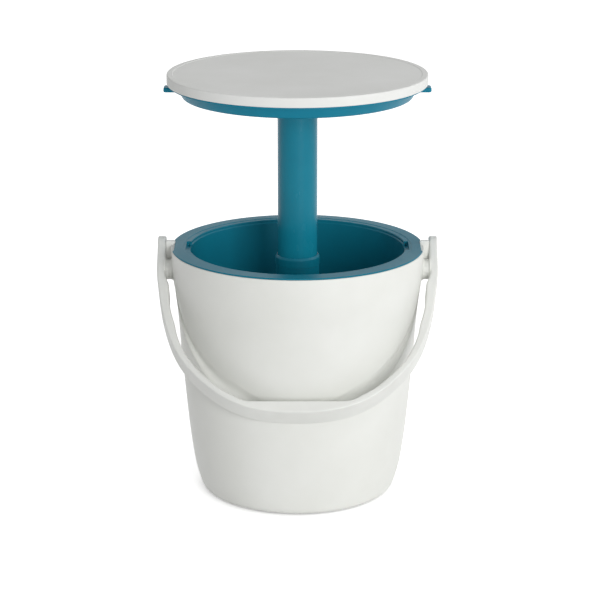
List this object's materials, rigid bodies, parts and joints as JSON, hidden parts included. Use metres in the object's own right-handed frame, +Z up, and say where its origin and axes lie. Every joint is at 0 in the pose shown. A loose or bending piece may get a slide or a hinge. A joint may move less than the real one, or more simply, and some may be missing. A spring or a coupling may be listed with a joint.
{
  "type": "ice bucket coffee table",
  "caption": "Round insulated ice bucket with a bail handle and a flat round table top on a column that slides up out of the bucket.",
  "frame": {"origin": "on the floor, under the middle of the bucket", "axes": "+Z up along the column, -Y to the side that the handle hangs to, X along the handle's hinge line"},
  "size_m": [0.3754, 0.3473, 0.57],
  "materials": {
    "white_plastic": "satin moulded white plastic",
    "teal_plastic": "satin moulded teal plastic",
    "nylon": "plain slippery plastic",
    "rubber": "soft dark rubber",
    "steel": "plain steel"
  },
  "bodies": {
    "bucket": {"outer_shell": "white_plastic", "inner_liner": "teal_plastic", "center_sleeve": "teal_plastic", "sleeve_gasket": "rubber", "sleeve_collar": "teal_plastic", "grip_ring": "rubber", "pivot_pin_right": "white_plastic", "pivot_washer_right": "nylon", "pivot_clip_right": "steel", "pivot_pin_left": "white_plastic", "pivot_washer_left": "nylon", "pivot_clip_left": "steel", "foot_1": "rubber", "foot_2": "rubber", "foot_3": "rubber", "foot_4": "rubber", "body_screw_1": "steel", "body_screw_2": "steel", "body_screw_3": "steel", "body_screw_4": "steel", "sleeve_screw_1": "steel", "sleeve_screw_2": "steel", "sleeve_screw_3": "steel", "sleeve_screw_4": "steel"},
    "table": {"table_top": "white_plastic", "lid_pan": "teal_plastic", "column_tube": "teal_plastic", "column_guide": "nylon", "column_screw_1": "steel", "column_screw_2": "steel", "column_screw_3": "steel", "column_screw_4": "steel", "lid_screw_1": "steel", "lid_screw_2": "steel", "lid_screw_3": "steel", "lid_screw_4": "steel"},
    "handle": {"carrying_handle": "white_plastic"}
  },
  "joints": [
    {"name": "column_slide", "type": "slide", "parent": "bucket", "child": "table", "axis": [0, 0, 1], "range_m": [-0.2035, 0]},
    {"name": "handle_hinge", "type": "hinge", "parent": "bucket", "child": "handle", "pos_m": [0, 0, 0.303], "axis": [-1, 0, 0], "range_deg": [0, 75]}
  ]
}
